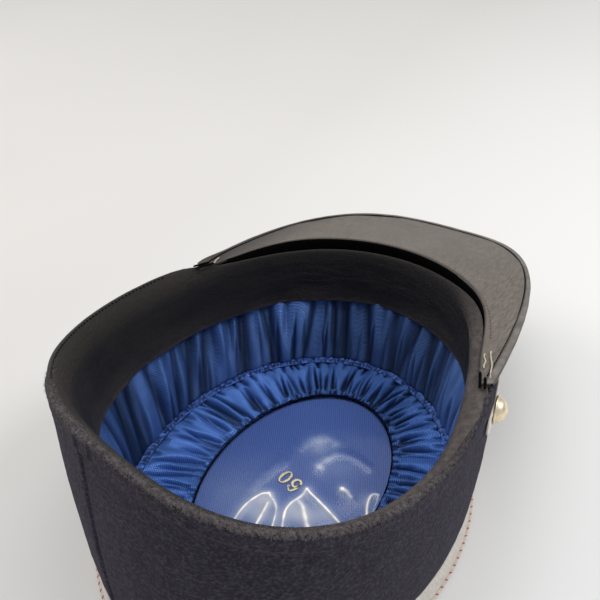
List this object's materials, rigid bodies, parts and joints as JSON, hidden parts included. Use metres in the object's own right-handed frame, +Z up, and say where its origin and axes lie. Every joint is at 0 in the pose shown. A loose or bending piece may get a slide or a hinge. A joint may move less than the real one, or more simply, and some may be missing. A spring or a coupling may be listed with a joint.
{
  "type": "kepi",
  "caption": "Wool kepi lying on its crown with a broad leather visor, leather sweatband, gathered satin lining, clear tip window, braided foot, chin strap and side buttons.",
  "frame": {"origin": "centre of the crown's flat outer face, which the cap lies on", "axes": "+Z up, from the crown towards the head opening; -Y towards the visor; +X towards the wearer's right"},
  "size_m": [0.1852, 0.2847, 0.1227],
  "materials": {
    "wool": "fulled wool cloth with a short matt nap",
    "visor_leather": "satin leather with fine streaks and a rolled black edge",
    "band_leather": "matt black leather with fine wrinkles",
    "satin": "blue satin with fine ribs",
    "tip_cloth": "blue twill",
    "clear_plastic": "thin clear plastic, glossy and creased",
    "gilt": "gold foil",
    "button_metal": "pale polished gilt",
    "braid": "pale silver ribbon with fine ribs",
    "piping": "cream cord crossed by red threads"
  },
  "bodies": {
    "root": {"crown_wall": "wool", "crown_top": "wool", "crown_braid": "braid", "crown_cord": "piping", "visor": "visor_leather", "sweatband": "band_leather", "lining_side": "satin", "lining_seam": "satin", "lining_ruffle": "satin", "lining_tip": "tip_cloth", "clear_window": "clear_plastic", "size_digit_6": "gilt", "size_digit_0": "gilt", "chin_strap": "braid", "button_left": "button_metal", "button_right": "button_metal"}
  },
  "joints": []
}
